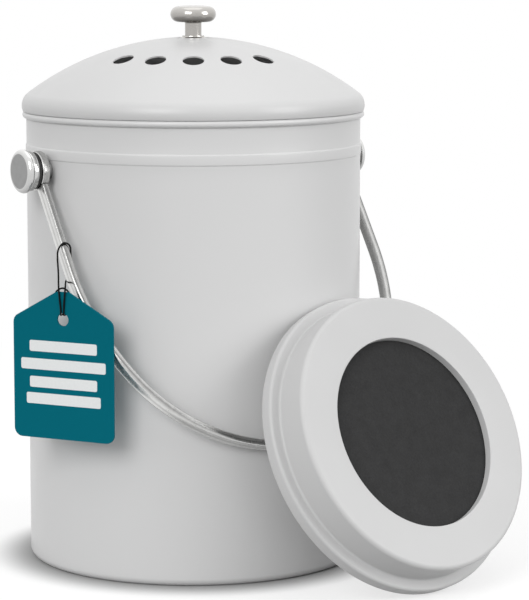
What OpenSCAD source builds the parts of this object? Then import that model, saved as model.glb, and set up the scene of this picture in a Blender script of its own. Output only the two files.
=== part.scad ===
// Compost caddy: a cylindrical steel bin with a lift-off domed lid, a charcoal
// filter cartridge held in the lid, a swinging bail handle and a hang tag.
// Millimetres. The origin is the centre of the base, +Z is up, the handle's
// pivots lie along X and the handle rests against the front of the bin (-Y).

/* [Bin] */
// Outside diameter of the bin's wall
bin_d = 176; // [150:1:200]
// Height of the bin to the top of its rolled edge
bin_h = 236.4; // [215:0.1:260]
// Thickness of the bin's and the lid's sheet steel
sheet = 0.8; // [0.6:0.1:1.2]
// Outside radius of the bend between the base and the wall
base_bend = 4; // [2:0.5:8]
// Height of the rolled edge at the mouth
roll_h = 3.7; // [2.5:0.1:5]
// How far the rolled edge stands out from the wall
roll_out = 2; // [1.5:0.1:2.4]
// How far the swage's ridge is below the bin's mouth
swage_drop = 19.9; // [14:0.1:40]
// Width of the raised ring
swage_w = 5.3; // [3:0.1:8]
// How far the raised ring stands out from the wall
swage_out = 0.4; // [0.2:0.1:1]

/* [Lid] */
// How far the lid's widest place stands out past the rolled edge
lid_over = 0.3; // [0.1:0.1:1.5]
// Radius of the lid's rounded edge
edge_r = 8; // [6:0.5:10]
// Height of the widest place above the rolled edge
edge_rise = 2.8; // [2:0.1:5]
// Radius of the dome
dome_r = 145; // [135:1:180]
// Radius of the flat seat under the knob
seat_r = 7.3; // [7.2:0.1:8]
// Diameter of a vent hole
vent_d = 11.1; // [6:0.1:13]
// Radius of the ring that the vent holes lie on
vent_ring_r = 53; // [40:1:60]
// Angle from one vent hole to the next in a group
vent_pitch = 21.3; // [16:0.1:26]
// Number of vent holes in each of the two groups
vent_count = 5; // [1:1:6]
// How far the lid is turned on the bin, as seen from above
lid_turn = -32; // [-180:1:180]

/* [Filter] */
// Width of the channel in the lid's inner ring
channel_w = 7.9; // [6:0.1:11]
// How far the cartridge's flange stands out from its drum
flange_out = 6; // [3:0.1:7]
// Thickness of the flange
flange_t = 7.4; // [5:0.1:9]
// Whole depth of the cartridge
cartridge_h = 25; // [22:0.5:28]
// Width of the flat rim round the opening in the cartridge's face
rim_w = 22.4; // [16:0.1:30]
// Thickness of the cartridge's plastic
holder_t = 2; // [1.6:0.1:2.5]
// Depth of the charcoal pad behind the cartridge's face
pad_recess = 4; // [3:0.5:6]
// Thickness of the charcoal pad
pad_t = 15; // [10:0.5:16]
// How far the top of the lid's inner ring stays below the dome
ring_under = 0.4; // [0.3:0.1:3]
// How far the cartridge's face hangs below the lid's inner ring
face_drop = 4; // [2:0.5:6]

/* [Spare cartridge] */
// How far round the bin the spare cartridge stands, in degrees from the front
spare_turn = 8; // [0:1:15]
// How far the spare cartridge then stands to the right of the bin's middle
spare_side = 24; // [15:1:50]
// How far the spare cartridge leans back from upright, in degrees
spare_lean = 26; // [20:1:30]

/* [Handle] */
// How far the handle's pivots are below the bin's mouth
pivot_drop = 27.8; // [26:0.1:40]
// Distance from the pivots to the middle of the grip
bail_reach = 165; // [160:0.5:170]
// How far the grip's curve is narrower than the legs are apart, on each side
grip_in = 4.4; // [4:0.1:6]
// Thickness of the strip
strip_t = 4; // [2.6:0.1:4.4]
// Width of the strip
strip_w = 7.2; // [5:0.1:8]
// Diameter of the eye at the end of a leg
eye_d = 20; // [16:0.5:24]

/* [Pivots] */
// Diameter of the pin that the eye turns on
pin_d = 6; // [5:0.5:8]
// Diameter of the pivot screw
screw_d = 4; // [3:0.5:4]
// Thickness of the spacer between the wall and the eye
spacer_t = 3.6; // [3:0.1:6]
// Diameter of the spacer
spacer_d = 10.4; // [9:0.2:16]
// Diameter of the button's front disc
button_d = 22.6; // [20:0.2:26]
// Diameter of the button's flat face
button_face_d = 17.8; // [16:0.2:20]
// Diameter of the button's back disc
button_back_d = 20.6; // [18:0.2:22]
// Thickness of the button's back disc
button_back_t = 3.6; // [3:0.1:4]
// Thickness of the button's front disc
button_front_t = 2.9; // [2.5:0.1:4]

/* [Knob] */
// Diameter of the knob's head
knob_d = 24; // [20:0.5:28]
// Height of the knob's head
knob_head_h = 8.7; // [7:0.1:10]
// Diameter of the knob's stem
knob_stem_d = 8.7; // [8:0.1:10]
// Height of the knob's stem
knob_stem_h = 7.1; // [5:0.1:9]
// Diameter of the collar under the knob
collar_d = 13.9; // [12:0.1:14]
// Height of the collar
collar_h = 1.7; // [1.2:0.1:2.5]

/* [Hang tag] */
// Width of the tag
tag_w = 57.8; // [40:0.2:60]
// Height of the tag
tag_h = 75; // [60:0.5:80]
// Thickness of the tag
tag_t = 1; // [0.6:0.1:1.5]
// Height of the tag's sloping shoulders
shoulder_h = 14; // [10:0.5:18]
// Width of the flat at the tag's top
apex_w = 7; // [5:0.5:12]
// Radius of the tag's corners
tag_corner_r = 4.5; // [2:0.5:6]
// Diameter of the tag's hole
tag_hole_d = 6.5; // [5:0.1:7]
// Distance from the tag's top to the middle of its hole
tag_hole_drop = 14; // [12:0.1:15]
// Diameter of the string
string_d = 0.9; // [0.6:0.1:1]

/* [Fits] */
// Gap round a turning pin
running_gap = 0.06; // [0.02:0.01:0.1]
// Gap round a screw in its tapped hole
thread_gap = 0.03; // [0.01:0.01:0.05]
// Gap round a screw in a clearance hole
screw_gap = 0.15; // [0.1:0.05:0.3]
// Gap between the cartridge's flange and the lid's inner ring
flange_gap = 0.1; // [0.05:0.01:0.3]
// Gap between the lid's inner ring and the bin's mouth
mouth_gap = 1.2; // [0.6:0.1:2]
// Gap between faces that turn past each other
side_gap = 0.3; // [0.2:0.05:0.5]

/* [Hidden] */

$fn = 96;
arc_steps = 8;

bin_r = bin_d / 2;
mouth_r = bin_r - sheet;
swage_z = bin_h - swage_drop;
pivot_z = bin_h - pivot_drop;

// The lid's edge and dome, as centres of their arcs in the (radius, height) plane
lid_r = bin_r + roll_out + lid_over;
edge_c = [lid_r - edge_r, bin_h + edge_rise];
dome_z = edge_c.y - sqrt(pow(dome_r - edge_r, 2) - pow(edge_c.x, 2));
edge_end = atan2(edge_c.y - dome_z, edge_c.x);
edge_start = -asin(edge_rise / edge_r);
// The knob's seat is pressed this far down from the dome
seat_drop = 1;
seat_z = dome_z + dome_r - seat_drop;
seat_slope = 2.2;
dome_end = acos((seat_r + seat_slope) / dome_r);
hem_in = 0.9;
hem_r = mouth_r - hem_in;

// The lid's inner ring, which the cartridge plugs into
ring_r = mouth_r - mouth_gap;
ring_bore_r = ring_r - channel_w;
flange_r = ring_bore_r - flange_gap;
drum_r = flange_r - flange_out;
opening_r = drum_r - rim_w;
cartridge_top = dome_under(ring_bore_r + sheet) - ring_under - sheet;
face_z = cartridge_top - cartridge_h;
ring_z = face_z + face_drop;
lip_in = 1.4;
ring_bend = 1.2;

// The spare cartridge stands on its back rim, and the rim leans on the bin's wall
spare_z = flange_r * cos(spare_lean) + cartridge_h * sin(spare_lean);
spare_y = min([
    for (t = [-180:2:180])
        let (x = spare_side + flange_r * sin(t))
        if (abs(x) < bin_r + side_gap)
            -sqrt(pow(bin_r + side_gap, 2) - x * x)
            - cartridge_h * cos(spare_lean) - flange_r * cos(t) * sin(spare_lean)]);

// The stack on each pivot, as distances from the middle plane
spacer_out = bin_r + spacer_t;
eye_in = spacer_out + side_gap;
eye_out = eye_in + strip_t;
washer_in = eye_out + side_gap;
washer_t = 1.4;
button_in = washer_in + washer_t;
groove_t = 0.5;
front_in = button_in + button_back_t + groove_t;
button_out = front_in + button_front_t;
seal_t = 1.4;
seal_in = mouth_r - seal_t;
// The knob's washer under the lid, and the depth of the knob's tapped hole
knob_washer_t = 1;
washer_z = seat_z - sheet - knob_washer_t;
knob_hole = 10;
// How far a screw's tip stays short of the bottom of its hole
tip_gap = 0.5;
screw_head_d = 9;
screw_head_h = 2.5;
screw_grip = 5;

// The bail's arcs, in its own plane with the pivots at the origin
bail_half = eye_in + strip_t / 2;
grip_r = bail_half - grip_in;
grip_c = [0, grip_r - bail_reach];
// A leg's arc ends at a slope of 8 in 15, whose hypotenuse is 17, so that it runs
// into the grip's arc exactly
leg_fall = 8 * grip_in / 2;
leg_straight = bail_reach - grip_r - leg_fall;
leg_r = grip_r + 17 * grip_in / 2;
leg_c = [bail_half - leg_r, -leg_straight];
leg_turn = atan2(8, 15);
// How many degrees the grip's arc runs into each leg's, so that they are one solid
arc_lap = 0.002;
strip_corner = 1.3;
// How far the strip's section reaches towards the bin from its middle line
lean_guess = 34;
strip_reach = strip_corner + (strip_w / 2 - strip_corner) * cos(lean_guess)
    + (strip_t / 2 - strip_corner) * sin(lean_guess);
bail_rest = asin((bin_r + side_gap + strip_reach) / bail_reach);

// Where the tag hangs: the middle of its hole and the way its face looks
tag_hole = [-101.3, -38.5, pivot_z - 71.7];
tag_facing = -60;
apex_corner_r = 3;

// The string's route, with heights from the pivots: from the tag's hole up its
// face, over the front and the upper edge of the handle's leg, down behind the
// leg and back to the hole
string_route = [
    [-102.2, -38.1, -69.4], [-102.6, -38.3, -68.9], [-102.6, -38.3, -66.6],
    [-103.1, -37.4, -56.6], [-100.1, -31.8, -48.6], [-98.4, -28, -41.8],
    [-97.3, -27, -37.7], [-95.7, -28.4, -34.8], [-93.5, -28.5, -34.6],
    [-91.5, -28.6, -36.3], [-91.1, -28.6, -40], [-91.1, -29, -43.7],
    [-91.2, -29.2, -47.8], [-92.3, -28.6, -51.6], [-95.3, -30.8, -53.7],
    [-101.2, -40.7, -55.2], [-101.6, -40.3, -60.6], [-101.7, -39.8, -66.6],
    [-101.7, -39.8, -68.9], [-101.3, -39.6, -69.4]
];
// The bight of the string behind the tag, which the two strands pass through
hitch_route = [
    [-101.1, -37.5, -69.4], [-100.7, -37.2, -68.9], [-100.9, -36.9, -66.6],
    [-102.6, -33.9, -60.1], [-102.4, -34.2, -57.6], [-100.7, -37.2, -56],
    [-99.1, -40, -57.6], [-98.9, -40.4, -60.1], [-99.9, -38.6, -66.6],
    [-99.9, -38.6, -68.9], [-100.3, -38.9, -69.4]
];
string_knot_at = [-92.3, -28.6, -51.6];
knot_d = 2.4;
string_sides = 8;
string_steps = 2;

// Points of an arc round c with radius r, from angle a to angle b
function arc(c, r, a, b, n = arc_steps) =
    [for (i = [0:n]) let (t = a + (b - a) * i / n) c + r * [cos(t), sin(t)]];

// A rectangle of size s round the origin, with corners of radius r
function rounded(s, r) = concat(
    arc([s.x / 2 - r, s.y / 2 - r], r, 0, 90, 4),
    arc([r - s.x / 2, s.y / 2 - r], r, 90, 180, 4),
    arc([r - s.x / 2, r - s.y / 2], r, 180, 270, 4),
    arc([s.x / 2 - r, r - s.y / 2], r, 270, 360, 4));

// The lid's face, inset by d from its outside, from the edge up to the seat
function lid_face(d) = concat(
    arc(edge_c, edge_r - d, edge_start, edge_end, 10),
    arc([0, dome_z], dome_r - d, edge_end, dome_end, 14),
    [[seat_r, seat_z - d]]);

// Height of the dome's underside at radius r
function dome_under(r) = dome_z + sqrt(pow(dome_r - sheet, 2) - r * r);

// Height of the underside of the lid's edge at radius r
function edge_under(r) =
    edge_c.y + sqrt(pow(edge_r - sheet, 2) - pow(r - edge_c.x, 2));

function reversed(p) = [for (i = [len(p) - 1:-1:0]) p[i]];

// A piece of tube or disc along X: from x = a to x = b
module along_x(a, b, d) {
    translate([a, 0, 0]) rotate([0, 90, 0]) cylinder(h = b - a, d = d);
}

// Puts pivot hardware, drawn on +X, on the right (1) or the left (-1)
module at_pivot(side) {
    if (side > 0) translate([0, 0, pivot_z]) children();
    else translate([0, 0, pivot_z]) mirror([1, 0, 0]) children();
}

module bin_body() {
    swage_r = (pow(swage_w / 2, 2) + pow(swage_out, 2)) / (2 * swage_out);
    swage_c = [bin_r + swage_out - swage_r, swage_z];
    swage_turn = asin(swage_w / 2 / swage_r);
    roll_c = [bin_r + roll_out - roll_h / 2, bin_h - roll_h / 2];
    color([0.84, 0.84, 0.83]) difference() {
        rotate_extrude() polygon(concat(
            [[0, 0]],
            arc([bin_r - base_bend, base_bend], base_bend, -90, 0),
            arc(swage_c, swage_r, -swage_turn, swage_turn),
            [[bin_r, bin_h - roll_h]],
            arc(roll_c, roll_h / 2, -90, 90, 10),
            [[mouth_r, bin_h]],
            arc([mouth_r - base_bend + sheet, base_bend], base_bend - sheet, 0, -90),
            [[0, sheet]]));
        translate([0, 0, pivot_z])
            along_x(-bin_r - 1, bin_r + 1, screw_d + 2 * screw_gap);
    }
}

module lid_shell() {
    color([0.88, 0.88, 0.87]) difference() {
        rotate_extrude() polygon(concat(
            [[hem_r, bin_h]],
            lid_face(0),
            [[screw_d / 2 + screw_gap, seat_z], [screw_d / 2 + screw_gap, seat_z - sheet]],
            reversed(lid_face(sheet)),
            [[hem_r, bin_h + sheet]]));
        for (group = [0, 180], i = [0:vent_count - 1])
            rotate([0, 0, lid_turn - 90 + group + (i - (vent_count - 1) / 2) * vent_pitch])
                translate([0, 0, dome_z])
                    rotate([0, asin(vent_ring_r / dome_r), 0])
                        translate([0, 0, dome_r - 10]) cylinder(h = 20, d = vent_d);
    }
}

module lid_inner_ring() {
    wall_in = ring_r - sheet;
    bore_out = ring_bore_r + sheet;
    color([0.8, 0.8, 0.8]) rotate_extrude() polygon(concat(
        [[ring_r, edge_under(ring_r)]],
        reversed(arc([ring_r - ring_bend, ring_z + ring_bend], ring_bend, -90, 0, 4)),
        [[ring_bore_r, ring_z], [ring_bore_r, cartridge_top],
         [ring_bore_r - lip_in, cartridge_top],
         [ring_bore_r - lip_in, cartridge_top + sheet],
         [bore_out, cartridge_top + sheet], [bore_out, ring_z + sheet],
         [wall_in, ring_z + sheet], [wall_in, edge_under(wall_in)]]));
}

module lid_knob() {
    head_z = seat_z + collar_h + knob_stem_h;
    rim_r = knob_head_h / 2 - 0.25;
    rim_c = knob_d / 2 - rim_r;
    root_r = 0.8;
    crown = 0.1;
    color([0.62, 0.6, 0.57]) difference() {
        rotate_extrude() polygon(concat(
            [[0, seat_z + collar_h], [knob_stem_d / 2, seat_z + collar_h]],
            reversed(arc([knob_stem_d / 2 + root_r, head_z - root_r], root_r, 90, 180, 4)),
            arc([rim_c, head_z + rim_r], rim_r, -90, 90, 16),
            [[rim_c / 2, head_z + knob_head_h - crown], [0, head_z + knob_head_h]]));
        translate([0, 0, seat_z + collar_h - 1])
            cylinder(h = knob_hole + 1, d = screw_d + 2 * thread_gap);
    }
}

module lid_knob_collar() {
    color([0.62, 0.6, 0.57]) rotate_extrude() polygon(concat(
        [[screw_d / 2 + screw_gap, seat_z], [collar_d / 2 - 0.3, seat_z]],
        arc([collar_d / 2 - 0.3, seat_z + 0.3], 0.3, -90, 0, 3),
        reversed(arc([collar_d / 2, seat_z + collar_h], collar_h - 0.5, 180, 270, 6)),
        [[screw_d / 2 + screw_gap, seat_z + collar_h]]));
}

module lid_knob_washer() {
    color([0.6, 0.6, 0.6]) translate([0, 0, washer_z]) difference() {
        cylinder(h = knob_washer_t, d = collar_d);
        translate([0, 0, -1])
            cylinder(h = knob_washer_t + 2, d = screw_d + 2 * screw_gap);
    }
}

// A pan-head screw standing on the origin: shank up, head below, cross recess
module pan_screw(shank) {
    recess_w = 1;
    recess_l = 5;
    recess_depth = 1.2;
    difference() {
        union() {
            cylinder(h = shank, d = screw_d);
            rotate_extrude() polygon(concat(
                [[0, -screw_head_h]],
                arc([screw_head_d / 2 - 1.2, 1.2 - screw_head_h], 1.2, -90, 0, 4),
                [[screw_head_d / 2, 0], [0, 0]]));
        }
        for (turn = [0, 90])
            rotate([0, 0, turn])
                translate([-recess_l / 2, -recess_w / 2, -screw_head_h - 1])
                    cube([recess_l, recess_w, recess_depth + 1]);
    }
}

module lid_knob_screw() {
    color([0.6, 0.6, 0.6]) translate([0, 0, washer_z])
        pan_screw(knob_washer_t + sheet + collar_h + knob_hole - tip_gap);
}

module cartridge_case() {
    groove_z = cartridge_top - flange_t;
    lead_in = 0.6;
    round_r = 1.5;
    inner_r = drum_r - holder_t;
    rotate_extrude() polygon(concat(
        [[opening_r, face_z + pad_recess], [opening_r, face_z + lead_in],
         [opening_r + lead_in, face_z]],
        arc([drum_r - round_r, face_z + round_r], round_r, -90, 0, 5),
        [[drum_r, groove_z]],
        arc([flange_r - round_r, groove_z + round_r], round_r, -90, 0, 5),
        [[flange_r, cartridge_top], [inner_r, cartridge_top],
         [inner_r, face_z + holder_t], [opening_r + holder_t, face_z + holder_t],
         [opening_r + holder_t, face_z + pad_recess]]));
}

module cartridge_pad() {
    translate([0, 0, face_z + pad_recess])
        cylinder(h = pad_t, r = drum_r - holder_t - side_gap);
}

module filter_holder() {
    color([0.83, 0.83, 0.82]) cartridge_case();
}

module filter_pad() {
    color([0.2, 0.2, 0.2]) cartridge_pad();
}

// Takes a cartridge out of the lid's ring and leans it on the front of the bin
module at_spare() {
    rotate([0, 0, spare_turn]) translate([spare_side, spare_y, spare_z])
        rotate([-90 - spare_lean, 0, 0]) translate([0, 0, -face_z]) children();
}

module spare_holder() {
    color([0.83, 0.83, 0.82]) at_spare() cartridge_case();
}

module spare_pad() {
    color([0.2, 0.2, 0.2]) at_spare() cartridge_pad();
}

module bail_section() {
    polygon(rounded([strip_t, strip_w], strip_corner));
}

module bail_leg() {
    translate([bail_half, 0, 0]) rotate([90, 0, 0])
        linear_extrude(leg_straight) bail_section();
    translate([leg_c.x, leg_c.y, 0])
        rotate_extrude(angle = leg_turn, start = -leg_turn)
            translate([leg_r, 0]) bail_section();
    along_x(eye_in, eye_out, eye_d);
}

module bail_handle() {
    color([0.66, 0.66, 0.66]) translate([0, 0, pivot_z])
        rotate([90 - bail_rest, 0, 0]) difference() {
            union() {
                bail_leg();
                mirror([1, 0, 0]) bail_leg();
                translate([grip_c.x, grip_c.y, 0])
                    rotate_extrude(angle = 180 - 2 * leg_turn + 2 * arc_lap,
                            start = 180 + leg_turn - arc_lap)
                        translate([grip_r, 0]) bail_section();
            }
            along_x(-eye_out - 1, eye_out + 1, pin_d + 2 * running_gap);
        }
}

// A spacer that fits the round wall of the bin and is domed towards the eye
module pivot_spacer(side) {
    dome = 1;
    bore = pin_d / 2 + running_gap;
    color([0.7, 0.7, 0.7]) at_pivot(side) difference() {
        rotate([0, 90, 0]) rotate_extrude() polygon(concat(
            [[bore, bin_r - 2], [spacer_d / 2, bin_r - 2]],
            arc([spacer_d / 2 - dome, spacer_out - dome], dome, 0, 90, 4),
            [[bore, spacer_out]]));
        translate([0, 0, -spacer_d]) cylinder(h = 2 * spacer_d, r = bin_r, $fn = 192);
    }
}

module pivot_washer(side) {
    washer_d = 19;
    color([0.05, 0.05, 0.05]) at_pivot(side) difference() {
        along_x(washer_in, button_in, washer_d);
        along_x(washer_in - 1, button_in + 1, pin_d + 2 * running_gap);
    }
}

// The button is turned in one piece with the pin that carries the eye
module pivot_button(side) {
    groove_d = 19;
    edge = 0.5;
    back_round = 1.2;
    bevel = min((button_d - button_face_d) / 2, button_front_t - edge);
    color([0.72, 0.72, 0.71]) at_pivot(side) difference() {
        rotate([0, 90, 0]) rotate_extrude() polygon(concat(
            [[0, bin_r - 1], [pin_d / 2, bin_r - 1], [pin_d / 2, button_in]],
            arc([button_back_d / 2 - back_round, button_in + back_round], back_round, -90, 0, 4),
            [[button_back_d / 2, front_in - groove_t - edge],
             [button_back_d / 2 - edge, front_in - groove_t],
             [groove_d / 2, front_in - groove_t], [groove_d / 2, front_in],
             [button_d / 2 - edge, front_in], [button_d / 2, front_in + edge]],
            arc([button_d / 2 - bevel, button_out - bevel], bevel, 0, 90, 6),
            [[0, button_out]]));
        translate([0, 0, -pin_d]) cylinder(h = 2 * pin_d, r = bin_r, $fn = 192);
        along_x(bin_r - 2, button_in + screw_grip, screw_d + 2 * thread_gap);
    }
}

// A rubber seal moulded to the round inside of the wall
module pivot_seal(side) {
    seal_d = 12;
    color([0.1, 0.1, 0.1]) at_pivot(side) intersection() {
        difference() {
            along_x(seal_in, bin_r, seal_d);
            along_x(seal_in - 1, bin_r + 1, screw_d + 2 * screw_gap);
        }
        translate([0, 0, -seal_d]) cylinder(h = 2 * seal_d, r = mouth_r, $fn = 192);
    }
}

module pivot_screw(side) {
    color([0.6, 0.6, 0.6]) at_pivot(side) translate([seal_in, 0, 0]) rotate([0, 90, 0])
        pan_screw(button_in + screw_grip - seal_in - tip_gap);
}

module hang_tag() {
    slope = atan2(shoulder_h, (tag_w - apex_w) / 2);
    side_x = tag_w / 2 - tag_corner_r;
    shoulder_y = tag_h - shoulder_h - tag_corner_r * tan((90 - slope) / 2);
    apex_x = apex_w / 2 - apex_corner_r * tan(slope / 2);
    right = concat(
        arc([side_x, tag_corner_r], tag_corner_r, -90, 0, 6),
        arc([side_x, shoulder_y], tag_corner_r, 0, 90 - slope, 6),
        arc([apex_x, tag_h - apex_corner_r], apex_corner_r, 90 - slope, 90, 4));
    left = [for (p = reversed(right)) [-p.x, p.y]];
    color([0, 0.39, 0.46]) translate(tag_hole) rotate([0, 0, tag_facing]) rotate([90, 0, 0])
        difference() {
            translate([0, tag_hole_drop - tag_h, -tag_t / 2])
                linear_extrude(tag_t) polygon(concat(right, left));
            translate([0, 0, -tag_t]) cylinder(h = 2 * tag_t, d = tag_hole_d);
        }
}

// A point between b and c on a smooth curve through a, b, c and d
function between(a, b, c, d, t) =
    ((2 * b) + (c - a) * t + (2 * a - 5 * b + 4 * c - d) * t * t
    + (3 * b - a - 3 * c + d) * t * t * t) / 2;

function smooth(p, n) = concat(
    [for (i = [0:len(p) - 2], j = [0:n - 1])
        between(p[max(i - 1, 0)], p[i], p[i + 1], p[min(i + 2, len(p) - 1)], j / n)],
    [p[len(p) - 1]]);

function unit(v) = v / norm(v);

function heading(p, i) = unit(p[min(i + 1, len(p) - 1)] - p[max(i - 1, 0)]);

// Directions across the tube, each carried on from the ring before it
function sideways(p, i = 0, last = [1, 0, 0], found = []) =
    i == len(p) ? found :
    let (h = heading(p, i), side = unit(last - (last * h) * h))
        sideways(p, i + 1, side, concat(found, [side]));

module tube(p, d, sides) {
    across = sideways(p);
    rings = [for (i = [0:len(p) - 1])
        let (h = heading(p, i), a = across[i], b = cross(h, a))
        for (k = [0:sides - 1])
            p[i] + d / 2 * (cos(360 * k / sides) * a + sin(360 * k / sides) * b)];
    walls = [for (i = [0:len(p) - 2], k = [0:sides - 1])
        let (m = (k + 1) % sides)
        [i * sides + k, (i + 1) * sides + k, (i + 1) * sides + m, i * sides + m]];
    first = [for (k = [0:sides - 1]) k];
    last = [for (k = [sides - 1:-1:0]) (len(p) - 1) * sides + k];
    polyhedron(rings, concat([first], walls, [last]), convexity = 8);
}

module tag_string() {
    color([0.05, 0.05, 0.05]) translate([0, 0, pivot_z])
        tube(smooth(string_route, string_steps), string_d, string_sides);
}

module string_hitch() {
    color([0.05, 0.05, 0.05]) translate([0, 0, pivot_z])
        tube(smooth(hitch_route, string_steps), string_d, string_sides);
}

module string_knot() {
    color([0.05, 0.05, 0.05]) translate([0, 0, pivot_z]) translate(string_knot_at)
        sphere(d = knot_d, $fn = 24);
}

bin_body();
lid_shell();
lid_inner_ring();
lid_knob();
lid_knob_collar();
lid_knob_washer();
lid_knob_screw();
filter_holder();
filter_pad();
spare_holder();
spare_pad();
bail_handle();
pivot_spacer(-1);  // pivot_spacer_left
pivot_spacer(1);  // pivot_spacer_right
pivot_washer(-1);  // pivot_washer_left
pivot_washer(1);  // pivot_washer_right
pivot_button(-1);  // pivot_button_left
pivot_button(1);  // pivot_button_right
pivot_seal(-1);  // pivot_seal_left
pivot_seal(1);  // pivot_seal_right
pivot_screw(-1);  // pivot_screw_left
pivot_screw(1);  // pivot_screw_right
hang_tag();
tag_string();
string_knot();
string_hitch();
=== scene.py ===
import bmesh
import bpy
import math
from mathutils import Matrix, Vector


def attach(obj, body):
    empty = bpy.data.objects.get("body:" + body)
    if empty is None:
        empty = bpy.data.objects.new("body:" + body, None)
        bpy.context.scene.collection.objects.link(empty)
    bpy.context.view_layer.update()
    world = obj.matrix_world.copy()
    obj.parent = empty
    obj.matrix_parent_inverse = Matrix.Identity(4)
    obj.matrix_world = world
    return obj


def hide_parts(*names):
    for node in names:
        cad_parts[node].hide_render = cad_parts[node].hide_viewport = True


# A compost caddy: powder-coated steel bin and lid, charcoal filter cartridge, a
# spare cartridge that leans on the bin, bail handle on two pivots, and a hang tag
# on a string.
# Sizes are in millimetres, as in the part's source, and mm() makes them metres.
# The string's length, the bumps, the floor and the lamps are given in metres.

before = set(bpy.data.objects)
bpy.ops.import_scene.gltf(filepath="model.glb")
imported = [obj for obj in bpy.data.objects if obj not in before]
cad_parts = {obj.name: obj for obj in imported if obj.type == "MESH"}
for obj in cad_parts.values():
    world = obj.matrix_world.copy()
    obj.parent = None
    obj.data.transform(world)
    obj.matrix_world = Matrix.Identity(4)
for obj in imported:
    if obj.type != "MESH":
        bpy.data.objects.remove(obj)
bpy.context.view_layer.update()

BIN_R = 88.0
SHEET = 0.8
BIN_H = 236.4
PIVOT_Z = 208.6
STRING_D = 0.9

TAG_HOLE = (-101.3, -38.5, 136.9)
TAG_FACING = math.radians(-60)

# The route's points are those of the part's source, with heights from the pivots
STRING_ROUTE = [
    (-102.2, -38.1, -69.4), (-102.6, -38.3, -68.9), (-102.6, -38.3, -66.6),
    (-103.1, -37.4, -56.6), (-100.1, -31.8, -48.6), (-98.4, -28, -41.8),
    (-97.3, -27, -37.7), (-95.7, -28.4, -34.8), (-93.5, -28.5, -34.6),
    (-91.5, -28.6, -36.3), (-91.1, -28.6, -40), (-91.1, -29, -43.7),
    (-91.2, -29.2, -47.8), (-92.3, -28.6, -51.6), (-95.3, -30.8, -53.7),
    (-101.2, -40.7, -55.2), (-101.6, -40.3, -60.6), (-101.7, -39.8, -66.6),
    (-101.7, -39.8, -68.9), (-101.3, -39.6, -69.4),
]
HITCH_ROUTE = [
    (-101.1, -37.5, -69.4), (-100.7, -37.2, -68.9), (-100.9, -36.9, -66.6),
    (-102.6, -33.9, -60.1), (-102.4, -34.2, -57.6), (-100.7, -37.2, -56),
    (-99.1, -40, -57.6), (-98.9, -40.4, -60.1), (-99.9, -38.6, -66.6),
    (-99.9, -38.6, -68.9), (-100.3, -38.9, -69.4),
]
KNOT_AT = (-92.3, -28.6, -51.6)


def from_pivots(point):
    """A point of a route, with its height counted from the ground."""
    return (point[0], point[1], point[2] + PIVOT_Z)


def mm(value):
    """Millimetres made metres, for one number or for a point."""
    if isinstance(value, (int, float)):
        return value / 1000
    return tuple(v / 1000 for v in value)


def in_scene(name, data):
    """A new object of the scene."""
    made = bpy.data.objects.new(name, data)
    bpy.context.scene.collection.objects.link(made)
    return made


# Camera, at the place worked out from the bin's outline

IMAGE_W = 529
FOCAL_PX = 2689.7
SENSOR = 36.0
CAMERA_AT = (-752.9, -1204.8, 325.8)
CAMERA_PITCH = math.radians(7.651)
CAMERA_YAW = math.radians(-33.513)


def make_camera():
    data = bpy.data.cameras.new("camera")
    data.sensor_fit = "HORIZONTAL"
    data.sensor_width = SENSOR
    data.lens = FOCAL_PX / IMAGE_W * SENSOR
    camera = in_scene("camera", data)
    camera.location = mm(CAMERA_AT)
    camera.rotation_euler = (math.pi / 2 - CAMERA_PITCH, 0, CAMERA_YAW)
    bpy.context.scene.camera = camera


# Materials

# Most of a noise lies between these, and span() uses its whole run there
NOISE_LOW = 0.3
NOISE_HIGH = 0.7


def grey(level):
    return (level, level, level)


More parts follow.
